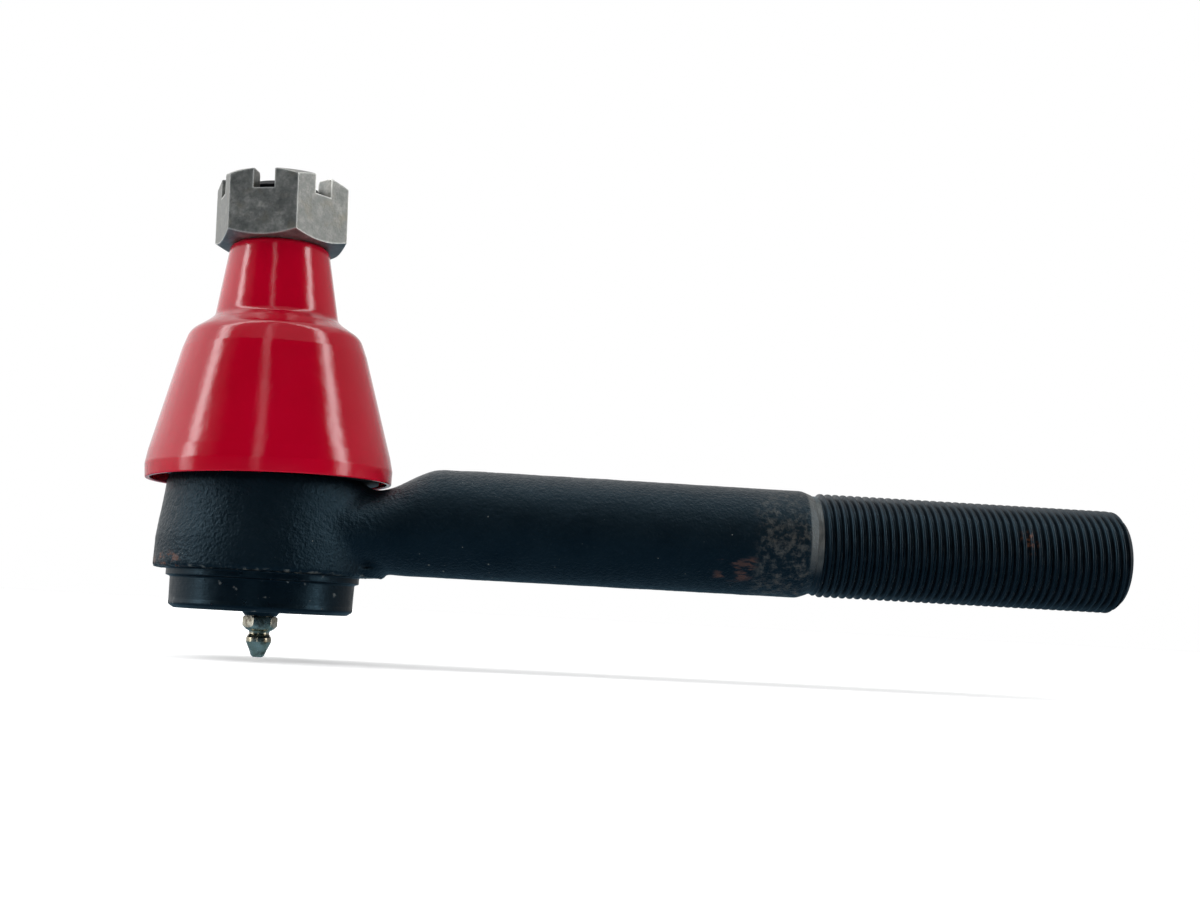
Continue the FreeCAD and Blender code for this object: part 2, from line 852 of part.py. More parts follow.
def main():
    doc = FreeCAD.newDocument("tie_rod_end")
    make_sheet(doc)
    pieces = [
        build_housing(doc),
        build_ball_stud(doc),
        build_cap(doc),
        build_nut(doc),
        build_upper_bearing(doc),
        build_lower_bearing(doc),
        build_spring_seat(doc),
        coil(
            doc,
            "preload_spring",
            "spring_mean_radius",
            "spring_wire_radius",
            "spring_start",
            "spring_pitch",
            "spring_turns",
        ),
        build_cover_plate(doc),
        ring_of_wire(
            doc, "cover_seal_ring", "seal_radius", "seal_wire_radius", "seal_height"
        ),
        build_fitting(doc),
        ring_of_wire(
            doc,
            "boot_lower_clamp",
            "lower_clamp_radius",
            "clamp_wire_radius",
            "lower_clamp_height",
            boot_shift(SIZE["lower_clamp_height"]),
        ),
        ring_of_wire(
            doc,
            "boot_upper_clamp",
            "upper_clamp_radius",
            "clamp_wire_radius",
            "upper_clamp_height",
            boot_shift(SIZE["upper_clamp_height"]),
        ),
        build_retainer(doc),
        build_boot(doc),
        coil(
            doc,
            "fitting_check_spring",
            "check_coil_radius",
            "check_wire_radius",
            "check_coil_foot",
            "check_coil_pitch",
            "check_coil_turns",
        ),
    ]
    check_ball = part_object(
        doc, "Part::Sphere", "fitting_check_ball", Radius="check_ball_radius"
    )
    place(check_ball, z=SIZE["check_ball_height"])
    pieces.append(check_ball)
    doc.recompute()
    for item in doc.Objects:
        if "Invalid" in item.State or "Error" in item.State:
            raise ValueError("%s failed: %s" % (item.Name, item.State))
    os.makedirs("parts", exist_ok=True)
    for item in pieces:
        item.Label = item.Name
        check_piece(item)
        item.Shape.exportStep("parts/%s.step" % item.Label)


main()
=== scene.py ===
import math
import bpy
import bmesh
from mathutils import Matrix, Vector, noise


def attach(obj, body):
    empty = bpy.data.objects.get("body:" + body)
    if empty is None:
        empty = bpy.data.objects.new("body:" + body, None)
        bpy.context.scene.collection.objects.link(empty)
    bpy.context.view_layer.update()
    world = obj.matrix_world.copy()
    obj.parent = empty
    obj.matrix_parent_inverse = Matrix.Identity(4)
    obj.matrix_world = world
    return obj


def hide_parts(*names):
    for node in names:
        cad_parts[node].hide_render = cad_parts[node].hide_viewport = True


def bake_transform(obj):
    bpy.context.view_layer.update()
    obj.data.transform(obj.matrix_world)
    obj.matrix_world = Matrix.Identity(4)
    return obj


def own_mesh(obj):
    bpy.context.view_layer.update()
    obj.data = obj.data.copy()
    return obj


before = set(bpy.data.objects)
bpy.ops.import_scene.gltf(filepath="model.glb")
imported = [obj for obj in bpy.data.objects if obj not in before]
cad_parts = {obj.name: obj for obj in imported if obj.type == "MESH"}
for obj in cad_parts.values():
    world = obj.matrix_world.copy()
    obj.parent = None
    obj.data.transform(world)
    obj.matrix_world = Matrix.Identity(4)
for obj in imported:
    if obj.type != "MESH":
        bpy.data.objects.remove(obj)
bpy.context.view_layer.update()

# Lengths are in millimetres unless a name ends in _M; MM turns them into metres.
MM = 0.001

# The stud leans back from the shank about the ball's centre.
LEAN = math.radians(-2.05)
LEANING = Matrix.Rotation(LEAN, 4, "Y")

# Threads: 1-1/8 inch 12 on the shank, 7/8 inch 14 on the stud.
SHANK_PITCH = 2.1167
SHANK_CREST = 14.22
SHANK_CREST_RUBBED = 14.12
SHANK_THREAD_DEPTH = 1.22
SHANK_THREAD_START = 146.88
SHANK_THREAD_END = 232.45
SHANK_END = 232.5
STUD_PITCH = 1.8143
STUD_CREST = 11.0
STUD_THREAD_DEPTH = 1.0
STUD_THREAD_START = 65.0
STUD_THREAD_END = 88.35
STUD_END = 88.4

# Plain shank and its chamfered shoulder before the thread.
SHANK_RADIUS = 14.6
SHOULDER_START = 143.0
SHOULDER_RADIUS = 13.45

BALL_RADIUS = 14.3
BALL_FLAT = -12.9
STUD_NECK_RADIUS = 9.8


# ---------------------------------------------------------------- mesh tools

def add_object(name, mesh):
    """Put a mesh into the scene as an object at the origin."""
    obj = bpy.data.objects.new(name, mesh)
    bpy.context.collection.objects.link(obj)
    return obj


def finish_mesh(mesh, sharp=32.0):
    """Turn the normals outwards, shade smooth and keep real edges crisp."""
    bm = bmesh.new()
    bm.from_mesh(mesh)
    bmesh.ops.dissolve_degenerate(bm, dist=1e-7, edges=bm.edges)
    bmesh.ops.recalc_face_normals(bm, faces=bm.faces)
    limit = math.radians(sharp)
    for face in bm.faces:
        face.smooth = True
    for edge in bm.edges:
        if len(edge.link_faces) == 2:
            edge.smooth = edge.calc_face_angle(0.0) < limit
    bm.to_mesh(mesh)
    bm.free()
    mesh.update()


def mesh_object(name, verts, faces, matrix=None, sharp=32.0):
    """Make an object from points in millimetres."""
    mesh = bpy.data.meshes.new(name)
    mesh.from_pydata([Vector(v) * MM for v in verts], [], faces)
    if matrix is not None:
        mesh.transform(matrix)
    finish_mesh(mesh, sharp)
    return add_object(name, mesh)


def soften(points, radii, steps=6):
    """Round the corners of a closed outline; one radius for each point."""
    rounded = []
    count = len(points)
    for i, radius in enumerate(radii):
        here = Vector(points[i])
        if radius <= 0:
            rounded.append(tuple(here))
            continue
        back = Vector(points[i - 1]) - here
        ahead = Vector(points[(i + 1) % count]) - here
        angle = back.angle(ahead)
        reach = radius / math.tan(angle / 2)
        reach = min(reach, 0.48 * back.length, 0.48 * ahead.length)
        start = here + back.normalized() * reach
        end = here + ahead.normalized() * reach
        for k in range(steps + 1):
            t = k / steps
            bend = start * (1 - t) ** 2 + here * 2 * t * (1 - t) + end * t ** 2
            rounded.append(tuple(bend))
    return rounded


def lathe_mesh(profile, steps, closed=True):
    """Points and faces of a profile (radius, height) turned about Z."""
    verts = []
    rings = []
    for radius, height in profile:
        if radius < 1e-6:
            rings.append([len(verts)])
            verts.append((0.0, 0.0, height))
            continue
        ring = []
        for k in range(steps):
            angle = 2 * math.pi * k / steps
            ring.append(len(verts))
            verts.append((radius * math.cos(angle), radius * math.sin(angle), height))
        rings.append(ring)
    faces = []
    pairs = len(rings) if closed else len(rings) - 1
    for i in range(pairs):
        a = rings[i]
        b = rings[(i + 1) % len(rings)]
        for k in range(steps):
            n = (k + 1) % steps
            quad = [a[k % len(a)], a[n % len(a)], b[n % len(b)], b[k % len(b)]]
            face = list(dict.fromkeys(quad))
            if len(face) > 2:
                faces.append(face)
    return verts, faces


def lathe(name, profile, steps=192, closed=True, matrix=None, sharp=32.0):
    """Object turned about the stud axis."""
    verts, faces = lathe_mesh(profile, steps, closed)
    return mesh_object(name, verts, faces, matrix, sharp)


def thread_height(phase, depth):
    """Depth below the crest of a 60 degree thread at a phase from 0 to 1."""
    slope = abs(phase - 0.5) * 2
    crest, root = 0.14, 0.80
    if slope <= crest:
        return 0.0
    if slope >= root:
        return depth
    return depth * (slope - crest) / (root - crest)


def thread_mesh(low, high, radius, depth, pitch, limit, steps=144, samples=10):
    """Right-hand screw thread about Z from low to high.

    limit gives the greatest radius allowed at a height, for chamfers and runouts."""
    count = int(math.ceil((high - low) / pitch) + 2) * samples
    verts = []
    for j in range(count):
        for k in range(steps):
            turn_part = k / steps
            along = low - pitch + pitch * (j / samples + turn_part)
            phase = (j % samples) / samples
            place = min(max(along, low), high)
            reach = min(radius - thread_height(phase, depth), limit(place))
            angle = 2 * math.pi * turn_part
            verts.append((reach * math.cos(angle), reach * math.sin(angle), place))
    faces = []
    for j in range(count - 1):
        for k in range(steps):
            a = j * steps + k
            b = (j + 1) * steps + k
            if k + 1 < steps:
                faces.append([a, a + 1, b + 1, b])
            elif j + samples + 1 < count:
                first = (j + samples) * steps
                faces.append([a, first, first + steps, b])
    return verts, faces


def add_modifier(obj, kind, **settings):
    """Add a modifier and apply it at once."""
    item = obj.modifiers.new(kind.lower(), kind)
    for key, value in settings.items():
        setattr(item, key, value)
    bpy.context.view_layer.objects.active = obj
    for other in bpy.context.selected_objects:
        other.select_set(False)
    obj.select_set(True)
    bpy.ops.object.modifier_apply(modifier=item.name)
    return obj


def cut_with(obj, tool, how="DIFFERENCE"):
    """Boolean one object with another and drop the tool."""
    add_modifier(obj, "BOOLEAN", operation=how, object=tool, solver="EXACT")
    bpy.data.objects.remove(tool, do_unlink=True)
    return obj


def prism(name, flats, low, high, turn_angle, sides=6):
    """Upright prism; turn_angle is the direction of its first corner."""
    corner = flats / 2 / math.cos(math.pi / sides)
    verts = []
    for height in (low, high):
        for k in range(sides):
            angle = turn_angle + 2 * math.pi * k / sides
            verts.append((corner * math.cos(angle), corner * math.sin(angle), height))
    faces = [list(range(sides))[::-1], list(range(sides, 2 * sides))]
    for k in range(sides):
        n = (k + 1) % sides
        faces.append([k, n, n + sides, k + sides])
    return mesh_object(name, verts, faces)


# ------------------------------------------------------------ material tools

class Graph:
    """A node tree with short calls for the nodes it uses."""

    def __init__(self, tree):
        self.tree = tree

    def node(self, kind, **settings):
        """Add a shader node and set its properties."""
        node = self.tree.nodes.new("ShaderNode" + kind)
        for key, value in settings.items():
            setattr(node, key, value)
        return node

    def link(self, source, target):
        self.tree.links.new(source, target)

    def feed(self, socket, value):
        """Link a socket to a node output, or set it to a number or colour."""
        if isinstance(value, bpy.types.NodeSocket):
            self.link(value, socket)
        else:
            socket.default_value = value

    def ramp(self, value, stops):
        """Colour ramp; stops are (position, colour or grey level)."""
        node = self.node("ValToRGB")
        marks = node.color_ramp.elements
        while len(marks) < len(stops):
            marks.new(0.5)
        for mark, (position, colour) in zip(marks, stops):
            mark.position = position
            if isinstance(colour, (int, float)):
                colour = (colour, colour, colour)
            mark.color = (*colour, 1.0)
        self.link(value, node.inputs["Fac"])
        return node.outputs["Color"]

    def span(self, value, low, high, low_out=0.0, high_out=1.0):
        """Map a value's range onto another, held at its ends."""
        node = self.node("MapRange")
        self.link(value, node.inputs["Value"])
        node.inputs["From Min"].default_value = low
        node.inputs["From Max"].default_value = high
        node.inputs["To Min"].default_value = low_out
        node.inputs["To Max"].default_value = high_out
        return node.outputs["Result"]

    def calc(self, how, a, b):
        """Combine two values with one of the Math node's operations."""
        node = self.node("Math", operation=how)
        self.feed(node.inputs[0], a)
        self.feed(node.inputs[1], b)
        return node.outputs["Value"]

    def blend(self, amount, a, b):
        """Mix two colours."""
        node = self.node("Mix", data_type="RGBA")
        self.feed(node.inputs[0], amount)
        for socket, colour in ((node.inputs[6], a), (node.inputs[7], b)):
            self.feed(socket, (*colour, 1.0) if isinstance(colour, tuple) else colour)
        return node.outputs[2]


class Paint(Graph):
    """A Principled material, textured in the object's own coordinates."""

    def __init__(self, name):
        self.material = bpy.data.materials.new(name)
        self.material.use_nodes = True
        super().__init__(self.material.node_tree)
        self.shader = self.tree.nodes["Principled BSDF"]
        self.place = self.node("TexCoord").outputs["Object"]

    def scaled(self, x, y, z):
        """The place stretched along each axis."""
        node = self.node("Mapping")
        node.inputs["Scale"].default_value = (x, y, z)
        self.link(self.place, node.inputs["Vector"])
        return node.outputs["Vector"]

    def grain(self, scale, detail=4.0, rough=0.55, place=None):
        """Fractal noise from 0 to 1."""
        node = self.node("TexNoise")
        node.inputs["Scale"].default_value = scale
        node.inputs["Detail"].default_value = detail
        node.inputs["Roughness"].default_value = rough
        self.link(place or self.place, node.inputs["Vector"])
        return node.outputs["Fac"]

    def cells(self, scale):
        """Distance to the nearest of many scattered points."""
        node = self.node("TexVoronoi")
        node.inputs["Scale"].default_value = scale
        self.link(self.place, node.inputs["Vector"])
        return node.outputs["Distance"]

    def band(self, letter, low, high, soft):
        """1 between two places along an axis, fading over soft, in mm."""
        split = self.node("SeparateXYZ")
        self.link(self.place, split.inputs["Vector"])
        axis = split.outputs[letter]
        rise = self.span(axis, (low - soft) * MM, low * MM)
        fall = self.span(axis, high * MM, (high + soft) * MM, 1.0, 0.0)
        return self.calc("MULTIPLY", rise, fall)

    def relief(self, height, depth, under=None):
        """Bump of a real depth in millimetres."""
        node = self.node("Bump")
        node.inputs["Strength"].default_value = 1.0
        node.inputs["Distance"].default_value = depth * MM
        self.link(height, node.inputs["Height"])
        if under is not None:
            self.link(under, node.inputs["Normal"])
        return node.outputs["Normal"]

    def wear(self, radius):
        """1 on convex edges, 0 elsewhere; worn edges, and the nut's painted edge highlight."""
        node = self.node("Bevel", samples=4)
        node.inputs["Radius"].default_value = radius * MM
        dot = self.node("VectorMath", operation="DOT_PRODUCT")
        shape = self.node("NewGeometry")
        self.link(node.outputs["Normal"], dot.inputs[0])
        self.link(shape.outputs["Normal"], dot.inputs[1])
        return self.span(dot.outputs["Value"], 0.98, 0.80)

    def surface(self, colour, rough, normal, metal, **plain):
        """Set the shader's inputs; plain ones are named with _ for a space."""
        self.feed(self.shader.inputs["Base Color"], colour)
        self.feed(self.shader.inputs["Roughness"], rough)
        self.feed(self.shader.inputs["Metallic"], metal)
        if normal is not None:
            self.link(normal, self.shader.inputs["Normal"])
        for key, value in plain.items():
            self.shader.inputs[key.replace("_", " ")].default_value = value
        return self.material


# -------------------------------------------------------------- materials

# The black finishes throw back a cool sheen.
BLACK_FINISH = {"Specular_IOR_Level": 0.34, "Specular_Tint": (0.36, 0.74, 1.0, 1.0)}


def forged_paint():
    """Thin black paint over a rough forging, with rust and chipped specks."""
    p = Paint("forged_black_paint")
    broad = p.grain(90, 3)
    base = p.ramp(broad, [(0.3, (0.0008, 0.0022, 0.0042)), (0.7, (0.0020, 0.0044, 0.0070))])
    dust = p.ramp(p.grain(1700, 3), [(0.60, 0.0), (0.78, 0.30)])
    base = p.blend(dust, base, (0.020, 0.025, 0.028))
    chips = p.ramp(p.grain(820, 2, 0.4), [(0.765, 0.0), (0.785, 1.0)])
    base = p.blend(chips, base, (0.14, 0.15, 0.14))
    spots = p.ramp(p.grain(1.0, 4, 0.6, p.scaled(170, 420, 620)), [(0.52, 0.0), (0.60, 1.0)])
    near_end = p.calc("MULTIPLY", p.band("X", 121, 128, 3), p.band("Z", -11, -6, 1.5))
    low_left = p.calc("MULTIPLY", p.band("Z", -15.4, -12.5, 1.5), p.band("X", -27, -18, 4))
    some = p.calc("MAXIMUM", near_end, low_left)
    broken = p.ramp(p.grain(62, 2), [(0.46, 0.0), (0.56, 1.0)])
    broken = p.calc("MAXIMUM", broken, low_left)
    rust = p.calc("MULTIPLY", p.calc("MULTIPLY", spots, some), broken)
    base = p.blend(rust, base, (0.080, 0.033, 0.018))
    mottle = p.ramp(p.grain(520, 6, 0.75), [(0.48, 0.0), (0.62, 0.85)])
    worn = p.calc("MULTIPLY", p.band("X", 131, 143.2, 3), mottle)
    base = p.blend(worn, base, (0.050, 0.046, 0.040))
    bare = p.calc("MULTIPLY", p.band("X", 144.0, 150, 0.5), p.band("Z", 0, 20, 9))
    base = p.blend(bare, base, (0.095, 0.095, 0.090))
    ridge = p.calc("MULTIPLY", p.band("Z", -15.9, -15.2, 0.25), p.band("X", -30, 36, 1))
    scuffed = p.ramp(p.grain(460, 4, 0.6), [(0.52, 0.0), (0.62, 0.7)])
    base = p.blend(p.calc("MULTIPLY", ridge, scuffed), base, (0.085, 0.088, 0.080))
    rough = p.span(p.grain(700, 4), 0.3, 0.7, 0.28, 0.46)
    pits = p.relief(p.cells(1500), 0.07)
    skin = p.relief(p.grain(1050, 4, 0.6), 0.30, pits)
    return p.surface(base, rough, skin, 0.0, **BLACK_FINISH)


def machined_paint():
    """Thin black paint over turned metal, chipped along its edges."""
    p = Paint("machined_black_paint")
    base = p.ramp(
        p.grain(160, 4), [(0.3, (0.0006, 0.0016, 0.0032)), (0.7, (0.0020, 0.0038, 0.0058))]
    )
    edge = p.wear(0.35)
    broken = p.ramp(p.grain(500, 4), [(0.45, 0.0), (0.6, 1.0)])
    worn = p.calc("MULTIPLY", edge, broken)
    base = p.blend(worn, base, (0.085, 0.085, 0.078))
    scuffs = p.ramp(p.grain(520, 3, 0.5), [(0.68, 0.0), (0.72, 0.8)])
    base = p.blend(scuffs, base, (0.075, 0.078, 0.075))
    rings = p.grain(1.0, 2, 0.5, p.scaled(60, 60, 4200))
    skin = p.relief(rings, 0.03)
    skin = p.relief(p.grain(900, 3), 0.06, skin)
    rough = p.span(p.grain(400, 4), 0.3, 0.7, 0.26, 0.40)
    return p.surface(base, rough, skin, 0.0, **BLACK_FINISH)


def thread_oxide():
    """Black oxide on the shank's thread, rubbed grey along its crests."""
    p = Paint("thread_black_oxide")
    base = p.ramp(
        p.grain(240, 4), [(0.3, (0.0008, 0.0018, 0.0038)), (0.7, (0.0030, 0.0050, 0.0076))]
    )
    edge = p.wear(0.16)
    rubbed = p.ramp(p.grain(300, 3), [(0.40, 0.10), (0.62, 0.75)])
    base = p.blend(p.calc("MULTIPLY", edge, rubbed), base, (0.080, 0.082, 0.080))
    collar = p.calc("MULTIPLY", p.band("X", 140, 147.2, 0.3), p.band("Z", 0, 20, 9))
    dull = p.ramp(p.grain(210, 4, 0.6), [(0.35, (0.060, 0.060, 0.057)), (0.65, (0.13, 0.13, 0.12))])
    base = p.blend(collar, base, dull)
    spots = p.ramp(p.grain(520, 5, 0.65), [(0.52, 0.0), (0.60, 1.0)])
    where = p.calc("MULTIPLY", p.band("X", 201, 204.5, 1.5), p.band("Z", 0, 5, 2))
    broken = p.ramp(p.grain(90, 2), [(0.46, 0.0), (0.56, 1.0)])
    rust = p.calc("MULTIPLY", p.calc("MULTIPLY", spots, where), broken)
    base = p.blend(rust, base, (0.13, 0.055, 0.028))
    rough = p.span(p.grain(500, 4), 0.3, 0.7, 0.30, 0.46)
    skin = p.relief(p.grain(1400, 3), 0.03)
    metal = p.calc("MULTIPLY", collar, 0.35)
    return p.surface(base, rough, skin, metal, **BLACK_FINISH)


def cap_plastic():
    """Glossy red moulded plastic, a little wavy."""
    p = Paint("cap_red_plastic")
    base = p.ramp(p.grain(35, 2), [(0.35, (0.365, 0.0001, 0.012)), (0.65, (0.405, 0.0002, 0.015))])
    rough = p.span(p.grain(1100, 3), 0.3, 0.7, 0.04, 0.10)
    wave = p.relief(p.grain(75, 3, 0.6), 0.24)
    skin = p.relief(p.grain(2100, 3, 0.7), 0.025, wave)
    return p.surface(
        base, rough, skin, 0.0,
        Specular_IOR_Level=0.52,
        Subsurface_Weight=0.06,
        Subsurface_Radius=(0.004, 0.0006, 0.0008),
        Subsurface_Scale=0.3,
    )


def nut_steel():
    """Bare cold-formed steel, mottled; edges partly rubbed, partly a painted highlight."""
    p = Paint("nut_bare_steel")
    blotch = p.grain(330, 6, 0.68)
    fine = p.grain(1500, 4, 0.6)
    base = p.ramp(blotch, [(0.32, (0.168, 0.176, 0.168)), (0.50, (0.240, 0.245, 0.232)),
                           (0.68, (0.38, 0.378, 0.350))])
    base = p.blend(p.span(fine, 0.45, 0.72, 0.0, 0.45), base, (0.12, 0.12, 0.115))
    stain = p.ramp(p.grain(190, 4), [(0.56, 0.0), (0.70, 0.45)])
    base = p.blend(stain, base, (0.25, 0.225, 0.17))
    # Convex edges painted near white: partly rubbed bare steel, partly a painted highlight.
    base = p.blend(p.wear(0.8), base, (0.90, 0.90, 0.86))
    rough = p.span(blotch, 0.3, 0.7, 0.36, 0.54)
    skin = p.relief(p.grain(560, 5, 0.65), 0.16)
    skin = p.relief(fine, 0.05, skin)
    return p.surface(base, rough, skin, 0.88)


def stud_steel():
    """Ground steel, black and dull along its threaded end."""
    p = Paint("stud_ground_steel")
    rings = p.grain(1.0, 3, 0.5, p.scaled(90, 90, 3600))
    base = p.ramp(p.grain(130, 4), [(0.3, (0.22, 0.22, 0.225)), (0.7, (0.36, 0.36, 0.36))])
    # The threaded end, seen through the nut's slots, is coloured black and dull.
    threaded = p.band("Z", 64, 95, 1)
    base = p.blend(threaded, base, (0.006, 0.007, 0.010))
    rough = p.span(rings, 0.3, 0.7, 0.22, 0.38)
    rough = p.calc("MAXIMUM", rough, p.calc("MULTIPLY", threaded, 0.65))
    metal = p.span(threaded, 0.0, 1.0, 0.95, 0.0)
    return p.surface(base, rough, p.relief(rings, 0.03), metal)


def boot_rubber():
    """Matte black rubber with a faint mould skin."""
    p = Paint("boot_black_rubber")
    base = p.ramp(p.grain(110, 4), [(0.3, (0.012, 0.012, 0.013)), (0.7, (0.026, 0.026, 0.028))])
    rough = p.span(p.grain(900, 4), 0.3, 0.7, 0.55, 0.75)
    return p.surface(base, rough, p.relief(p.grain(1300, 4), 0.05), 0.0)


def ring_steel():
    """Dark grey phosphate on pressed steel."""
    p = Paint("ring_grey_phosphate")
    base = p.ramp(p.grain(500, 4), [(0.3, (0.022, 0.026, 0.030)), (0.7, (0.045, 0.050, 0.055))])
    base = p.blend(p.wear(0.25), base, (0.12, 0.12, 0.115))
    rough = p.span(p.grain(700, 3), 0.3, 0.7, 0.42, 0.6)
    return p.surface(base, rough, p.relief(p.grain(1200, 3), 0.03), 0.5)


def fitting_plate():
    """Yellow zinc plate, dulled brown in patches."""
    p = Paint("fitting_zinc_plate")
    base = p.ramp(p.grain(300, 4), [(0.35, (0.50, 0.45, 0.32)), (0.65, (0.80, 0.75, 0.62))])
    grime = p.ramp(p.grain(520, 4), [(0.50, 0.0), (0.66, 0.8)])
    base = p.blend(grime, base, (0.085, 0.055, 0.025))
    base = p.blend(p.wear(0.35), base, (0.80, 0.77, 0.64))
    rough = p.span(p.grain(600, 3), 0.3, 0.7, 0.18, 0.34)
    return p.surface(base, rough, p.relief(p.grain(700, 3), 0.05), 1.0)


def bearing_plastic():
    """Natural acetal with faint flow marks."""
    p = Paint("bearing_acetal")
    base = p.ramp(p.grain(200, 3), [(0.3, (0.70, 0.68, 0.58)), (0.7, (0.80, 0.78, 0.70))])
    rough = p.span(p.grain(500, 3), 0.3, 0.7, 0.35, 0.5)
    return p.surface(base, rough, p.relief(p.grain(800, 3), 0.03), 0.0)


def spring_steel():
    """Oiled spring wire with drawn lines."""
    p = Paint("spring_oiled_steel")
    base = p.ramp(p.grain(600, 3), [(0.3, (0.16, 0.16, 0.17)), (0.7, (0.30, 0.30, 0.31))])
    rough = p.span(p.grain(900, 3), 0.3, 0.7, 0.25, 0.4)
    return p.surface(base, rough, p.relief(p.grain(1500, 3), 0.02), 0.95)


MATERIALS = {
    "forged": forged_paint(),
    "machined": machined_paint(),
    "thread": thread_oxide(),
    "cap": cap_plastic(),
    "nut": nut_steel(),
    "stud": stud_steel(),
    "boot": boot_rubber(),
    "ring": ring_steel(),
    "fitting": fitting_plate(),
    "bearing": bearing_plastic(),
    "spring": spring_steel(),
}


def dress(obj, material, body, slot, *nodes):
    """Give a new piece its material, its body and the nodes it stands for."""
    obj.data.materials.clear()
    obj.data.materials.append(MATERIALS[material])
    if body:
        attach(obj, body)
    if nodes:
        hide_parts(*nodes)
    return obj


# -------------------------------------------------------------- the housing

def neck_loft():
    """Neck from the eye to the shank: ovals whose top rises to the bar.

    Each station is its place along the shank, top, foot and half width."""
    stations = [
        (20.6, 7.6, -14.2, 19.6),
        (25.0, 7.7, -14.2, 17.7),
        (28.5, 7.8, -14.3, 16.4),
        (32.0, 8.5, -14.4, 15.4),
        (34.5, 9.8, -14.5, 14.9),
        (37.5, 11.7, -14.6, 14.6),
        (41.0, 13.5, -14.6, 14.6),
        (44.0, 14.4, -14.6, 14.6),
        (47.0, SHANK_RADIUS, -SHANK_RADIUS, SHANK_RADIUS),
    ]
    steps = 96
    verts = []
    for x, top, foot, width in stations:
        centre = 0.5 * (top + foot)
        half = 0.5 * (top - foot)
        for k in range(steps):
            angle = 2 * math.pi * k / steps
            verts.append((x, width * math.cos(angle), centre + half * math.sin(angle)))
    faces = [list(range(steps)), list(range(len(verts) - steps, len(verts)))[::-1]]
    for i in range(len(stations) - 1):
        for k in range(steps):
            n = (k + 1) % steps
            a = i * steps
            b = a + steps
            faces.append([a + k, b + k, b + n, a + n])
    return verts, faces


def join_lists(parts):
    """Join several point and face lists into one."""
    verts = []
    faces = []
    for part_verts, part_faces in parts:
        offset = len(verts)
        verts += part_verts
        faces += [[i + offset for i in face] for face in part_faces]
    return verts, faces


def along_x(points):
    """Turn points made about Z so that their axis lies along +X."""
    return [(z, x, y) for x, y, z in points]


def eye_ring():
    """The eye, hollow for its bearings."""
    outline = soften(
        [
            (25.6, 9.3), (26.6, 7.2), (27.3, 0.0), (28.3, -8.0), (28.35, -14.9),
            (27.7, -15.65), (19.3, -15.65), (19.3, 6.9), (13.6, 6.9), (14.7, 9.3),
        ],
        [1.2, 1.0, 6.0, 6.0, 0.5, 0.3, 0, 0, 0, 0.6],
    )
    return lathe_mesh(outline, 256)


def plain_shank():
    """The bar from the neck to its chamfered shoulder."""
    start, end = 43.0, 146.2
    outline = soften(
        [
            (0, start), (SHANK_RADIUS, start), (SHANK_RADIUS, SHOULDER_START),
            (SHOULDER_RADIUS, end), (0, end),
        ],
        [0, 0, 1.5, 0, 0],
    )
    verts, faces = lathe_mesh(outline, 192, closed=False)
    return along_x(verts), faces


def neck_tongue():
    """Short rounded foot under the neck, beside the skirt."""
    centre = 19.6
    outline = [(0, -15.6), (11.4, -15.6), (13.6, -13.4), (0, -13.4)]
    verts, faces = lathe_mesh(outline, 96, closed=False)
    return [(x + centre, y, z) for x, y, z in verts], faces


def clamped(value):
    return min(1.0, max(0.0, value))


def fair_neck(obj):
    """Smooth the joint of neck, eye and shank, and leave the rest crisp."""
    group = obj.vertex_groups.new(name="neck")
    for vert in obj.data.vertices:
        place = vert.co / MM
        away = math.hypot(place.x, place.y)
        if away > 25.0 and place.x < 60:
            amount = clamped((away - 25.0) / 2.0) * clamped((58 - place.x) / 8)
            amount *= clamped((place.x - 6.0) / 8.0) * clamped((place.z + 13.0) / 3.0)
            group.add([vert.index], amount, "REPLACE")
    add_modifier(obj, "SMOOTH", factor=0.5, iterations=110, vertex_group="neck")
    add_modifier(obj, "SMOOTH", factor=0.5, iterations=3)


def rough_forging():
    """Eye, neck and plain shank as one skin, with a forged surface."""
    verts, faces = join_lists([eye_ring(), neck_loft(), neck_tongue(), plain_shank()])
    obj = mesh_object("housing_forging", verts, faces)
    add_modifier(obj, "REMESH", mode="VOXEL", voxel_size=0.55 * MM, adaptivity=0.0)
    fair_neck(obj)
    hammer(obj)
    for polygon in obj.data.polygons:
        polygon.use_smooth = True
    return obj


def hammer(obj):
    """Push the skin in and out by a forging's shallow lumps and pits.

    A ragged flash line runs round the foot of the eye."""
    bore_radius = 20.5
    turned_from = 142.5
    flash_height = -15.4
    mesh = obj.data
    moved = []
    for vert in mesh.vertices:
        place = vert.co / MM
        away = math.hypot(place.x, place.y)
        if away < bore_radius or place.x > turned_from:
            moved.extend(vert.co)
            continue
        lump = noise.fractal(place * 0.13, 1.0, 2.0, 2) * 0.09
        skin = noise.fractal(place * 0.95 + Vector((7, 3, 1)), 0.9, 2.0, 3) * 0.045
        if place.x < 38.0:
            near_foot = max(0.0, 1.0 - abs(place.z - flash_height) / 0.9)
            flash = max(0.0, noise.noise(place * 0.9 + Vector((2, 9, 4))))
            skin += near_foot * (0.04 + 0.45 * flash)
        fade = min(1.0, (turned_from - place.x) / 4.0)
        moved.extend(vert.co + vert.normal * (lump + skin) * fade * MM)
    mesh.vertices.foreach_set("co", moved)
    mesh.update()


def shank_limit(x):
    """Greatest radius of the threaded end at a place along it."""
    runout = 13.35 + max(0.0, x - 147.0) * 0.7
    chamfer = 12.3 + max(0.0, 232.3 - x) * 1.15
    return min(SHANK_CREST_RUBBED, runout, chamfer)


def build_forging():
    dress(rough_forging(), "forged", "housing", "housing_paint", "socket_housing")


